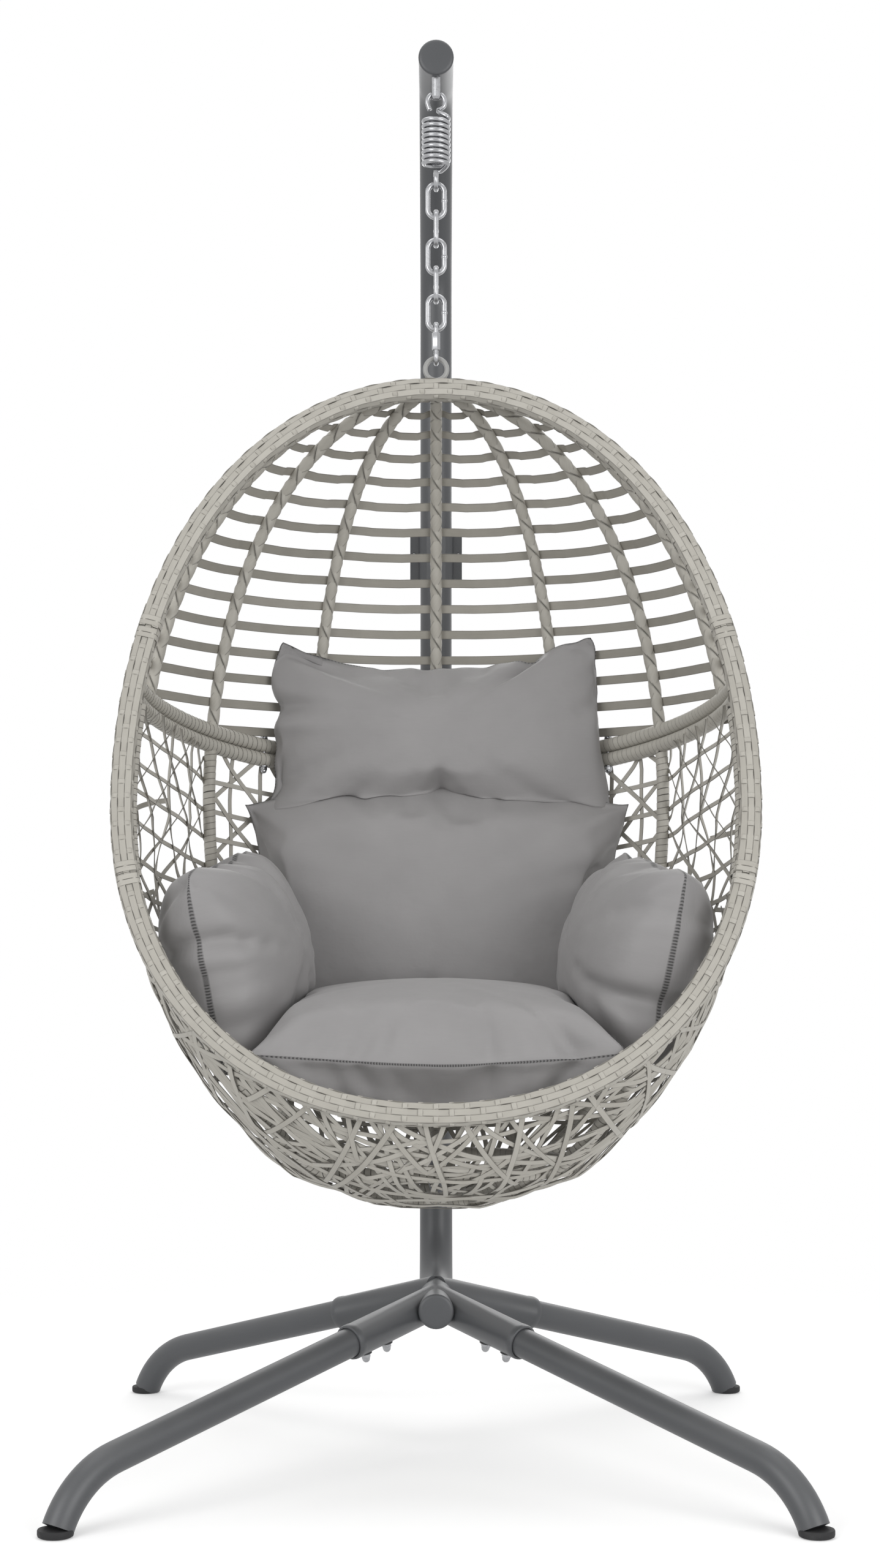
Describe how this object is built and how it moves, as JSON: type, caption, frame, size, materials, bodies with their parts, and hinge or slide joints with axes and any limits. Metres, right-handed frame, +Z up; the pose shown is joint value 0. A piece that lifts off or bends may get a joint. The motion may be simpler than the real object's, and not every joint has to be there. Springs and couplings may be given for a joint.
{
  "type": "hanging egg chair",
  "caption": "Hanging woven egg chair: a cushioned basket swings on a spring and chain from a bent steel pole on four splayed legs.",
  "frame": {"origin": "centre of the four feet on the floor, under the hanging point", "axes": "+Z up, +X to the right as seen from the front, the opening faces -Y"},
  "size_m": [0.9528, 0.954, 1.9506],
  "materials": {
    "frame_paint": "charcoal powder coat, satin",
    "foot_rubber": "black moulded rubber",
    "bright_zinc": "bright zinc plate",
    "ring_paint": "light grey powder coat",
    "wicker": "light grey woven resin strip over steel tube",
    "wicker_strip": "light grey flat resin strip",
    "cushion_cloth": "mid grey satin polyester over soft fill"
  },
  "bodies": {
    "stand": {"lower_pole_with_sockets": "frame_paint", "upper_pole": "frame_paint", "pole_top_cap": "frame_paint", "pole_base_cap": "frame_paint", "clamp_front_shell": "frame_paint", "clamp_rear_shell": "frame_paint", "clamp_bolt_left": "bright_zinc", "clamp_bolt_right": "bright_zinc", "hanging_eyelet": "frame_paint", "leg_front_left": "frame_paint", "foot_cap_front_left": "foot_rubber", "leg_front_right": "frame_paint", "foot_cap_front_right": "foot_rubber", "leg_rear_left": "frame_paint", "foot_cap_rear_left": "foot_rubber", "leg_rear_right": "frame_paint", "foot_cap_rear_right": "foot_rubber"},
    "spring": {"suspension_spring": "bright_zinc"},
    "chain_1": {"chain_link_1": "bright_zinc"},
    "chain_2": {"chain_link_2": "bright_zinc"},
    "chain_3": {"chain_link_3": "bright_zinc"},
    "chain_4": {"chain_link_4": "bright_zinc"},
    "chain_5": {"chain_link_5": "bright_zinc"},
    "quick_link": {"quick_link": "bright_zinc"},
    "sleeve": {"quick_link_sleeve": "bright_zinc"},
    "basket": {"lifting_ring": "ring_paint", "rim_top": "wicker", "rim_left": "wicker", "rim_right": "wicker", "rim_bottom": "wicker", "dome_ring": "wicker", "basket_ring": "wicker", "ring_bolt_left": "bright_zinc", "ring_bolt_right": "bright_zinc", "dome_rib_1": "wicker", "dome_rib_2": "wicker", "dome_rib_3": "wicker", "dome_rib_4": "wicker", "dome_rib_5": "wicker", "dome_rib_6": "wicker", "dome_rib_7": "wicker", "side_post_left": "wicker", "side_post_right": "wicker", "lower_rib_left": "wicker", "lower_rib_centre": "wicker", "lower_rib_right": "wicker", "bottom_frame": "wicker", "weave_back_left": "wicker_strip", "weave_back_right": "wicker_strip", "weave_side_left": "wicker_strip", "weave_side_right": "wicker_strip", "weave_front_left": "wicker_strip", "weave_front_right": "wicker_strip", "cushion_seat": "cushion_cloth", "cushion_arm_left": "cushion_cloth", "cushion_arm_right": "cushion_cloth", "cushion_back": "cushion_cloth", "cushion_head": "cushion_cloth"}
  },
  "joints": [
    {"name": "main_swing", "type": "hinge", "parent": "stand", "child": "spring", "pos_m": [0, 0, 1.8817], "axis": [1, 0, 0], "range_deg": [-25, 1.5]},
    {"name": "spring_stretch", "type": "slide", "parent": "spring", "child": "chain_1", "axis": [0, 0, -1], "range_m": [0, 0.045], "stiffness_N_per_m": 25000, "springref_m": -0.01, "deforming": ["suspension_spring"]},
    {"name": "side_swing", "type": "hinge", "parent": "chain_1", "child": "chain_2", "pos_m": [0, 0, 1.7172], "axis": [0, 1, 0], "range_deg": [-15, 15]},
    {"name": "twist", "type": "hinge", "parent": "chain_2", "child": "chain_3", "pos_m": [0, 0, 1.6749], "axis": [0, 0, 1], "range_deg": [-20, 20]},
    {"name": "chain_pitch", "type": "hinge", "parent": "chain_3", "child": "chain_4", "pos_m": [0, 0, 1.6325], "axis": [1, 0, 0], "range_deg": [-12, 0.5]},
    {"name": "chain_roll", "type": "hinge", "parent": "chain_4", "child": "chain_5", "pos_m": [0, 0, 1.5938], "axis": [0, 1, 0], "range_deg": [-10, 10]},
    {"name": "quick_link_turn", "type": "hinge", "parent": "chain_5", "child": "quick_link", "pos_m": [0, 0, 1.5551], "axis": [0, 0, 1], "range_deg": [-15, 15]},
    {"name": "basket_pitch", "type": "hinge", "parent": "quick_link", "child": "basket", "pos_m": [0, 0, 1.5149], "axis": [1, 0, 0], "range_deg": [-10, 0.5]},
    {"name": "sleeve_travel", "type": "slide", "parent": "quick_link", "child": "sleeve", "axis": [0, 0, -1], "range_m": [0, 0.005]}
  ]
}
